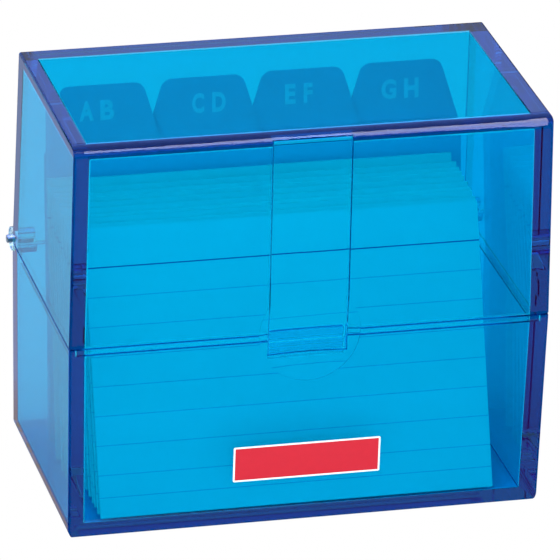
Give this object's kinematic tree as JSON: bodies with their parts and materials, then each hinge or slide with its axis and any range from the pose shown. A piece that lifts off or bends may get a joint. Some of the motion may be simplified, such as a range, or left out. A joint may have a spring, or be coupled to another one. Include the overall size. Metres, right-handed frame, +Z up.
{
  "type": "index card box",
  "caption": "Clear desktop card box with a hinged lid, a snap tongue and a thumb dish, holding fanned ruled cards and tabbed dividers.",
  "frame": {"origin": "middle of the tray's flat underside, on the surface that the box stands on", "axes": "+X along the width to the right, +Y from the tongue at the front to the hinge at the back, +Z up"},
  "size_m": [0.1292, 0.0756, 0.1078],
  "materials": {
    "clear_blue": "transparent blue polystyrene, moulded, polished",
    "steel": "drawn wire, bright",
    "card": "uncoated white card stock, ruled",
    "divider": "blue polypropylene sheet, fine matt grain"
  },
  "bodies": {
    "tray": {"tray": "clear_blue", "hinge_pin_left": "steel", "hinge_pin_right": "steel", "card_pack_1": "card", "card_pack_2": "card", "card_pack_3": "card", "card_pack_4": "card", "card_pack_5": "card", "card_pack_6": "card", "card_pack_7": "card", "card_pack_8": "card", "card_pack_9": "card", "divider_ab": "divider", "divider_cd": "divider", "divider_ef": "divider", "divider_gh": "divider"},
    "lid": {"lid": "clear_blue"},
    "latch": {"latch_tongue": "clear_blue"},
    "front_card": {"front_card": "card"}
  },
  "joints": [
    {"name": "lid_hinge", "type": "hinge", "parent": "tray", "child": "lid", "pos_m": [0, 0.037, 0.05352], "axis": [-1, 0, 0], "range_deg": [0, 170]},
    {"name": "tongue_flex", "type": "hinge", "parent": "lid", "child": "latch", "pos_m": [0, -0.03268, 0.1051], "axis": [-1, 0, 0], "range_deg": [0, 3.5], "stiffness_Nm_per_rad": 2.5},
    {"name": "front_card_tip", "type": "hinge", "parent": "tray", "child": "front_card", "pos_m": [0, -0.0305, 0.00344], "axis": [1, 0, 0], "range_deg": [0, 14]}
  ]
}
